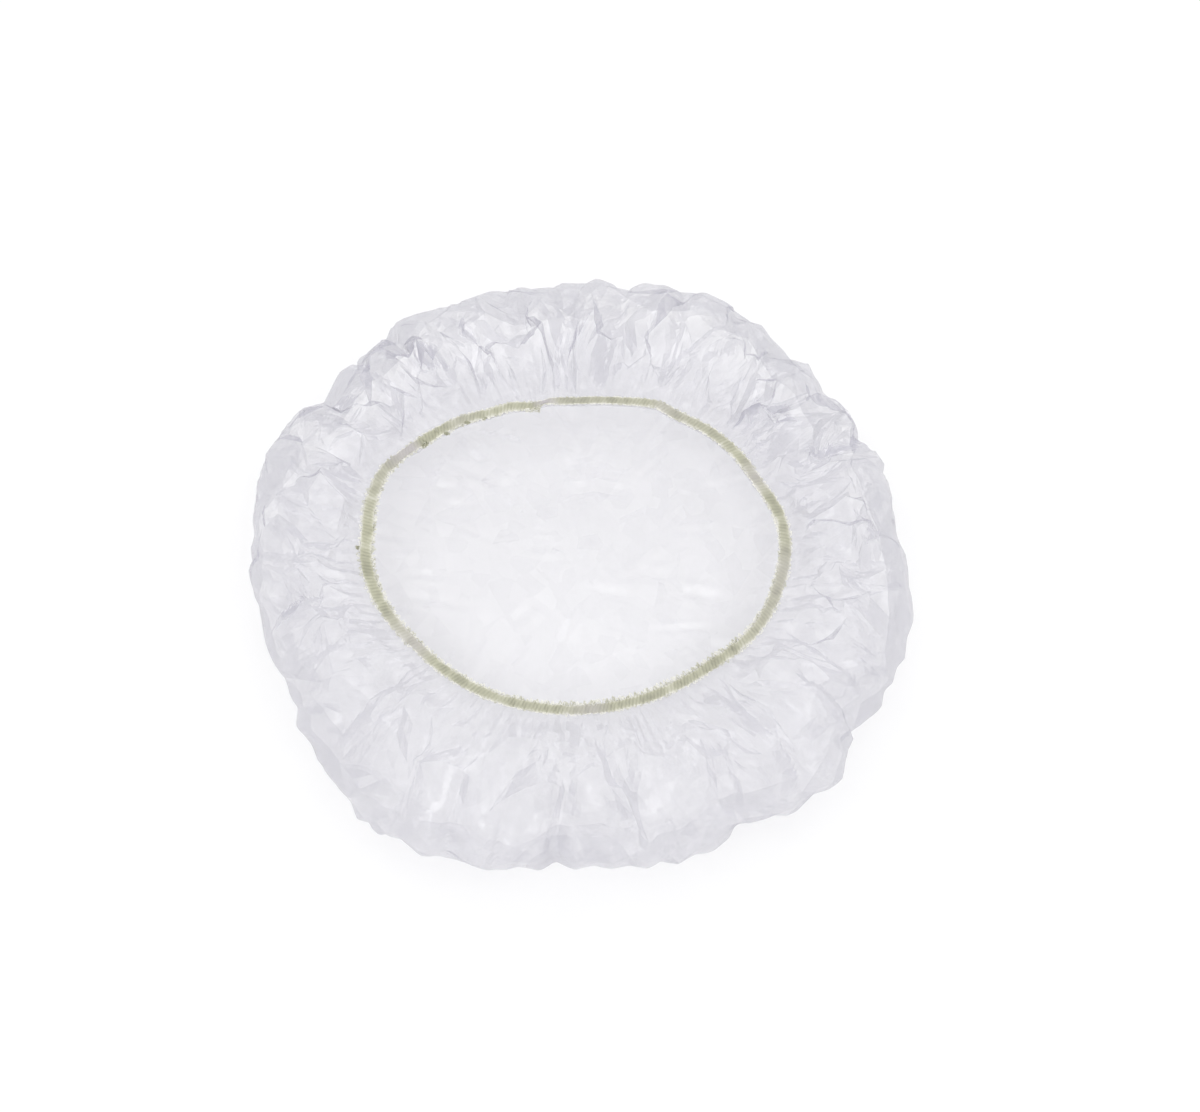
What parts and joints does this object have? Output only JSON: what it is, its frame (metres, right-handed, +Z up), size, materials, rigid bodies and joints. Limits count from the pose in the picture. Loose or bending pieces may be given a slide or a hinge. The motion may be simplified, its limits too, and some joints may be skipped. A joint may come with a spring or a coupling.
{
  "type": "disposable shower cap",
  "caption": "Thin clear film cap, lying crown down, its open mouth gathered all round on a narrow knitted elastic band.",
  "frame": {"origin": "on the ground, under the middle of the cap's box, with the crown lying flat and the mouth up", "axes": "+X the longer way across the cap, +Y the shorter, +Z up, out of the mouth"},
  "size_m": [0.2702, 0.2623, 0.0562],
  "materials": {
    "film": "thin clear film, crinkled all over, with a soft gloss and a faint violet grey tint",
    "elastic": "matt pale olive overlocked elastic with cross ribs and a fine cream frill"
  },
  "bodies": {
    "root": {"film": "film", "elastic_band": "elastic"}
  },
  "joints": []
}
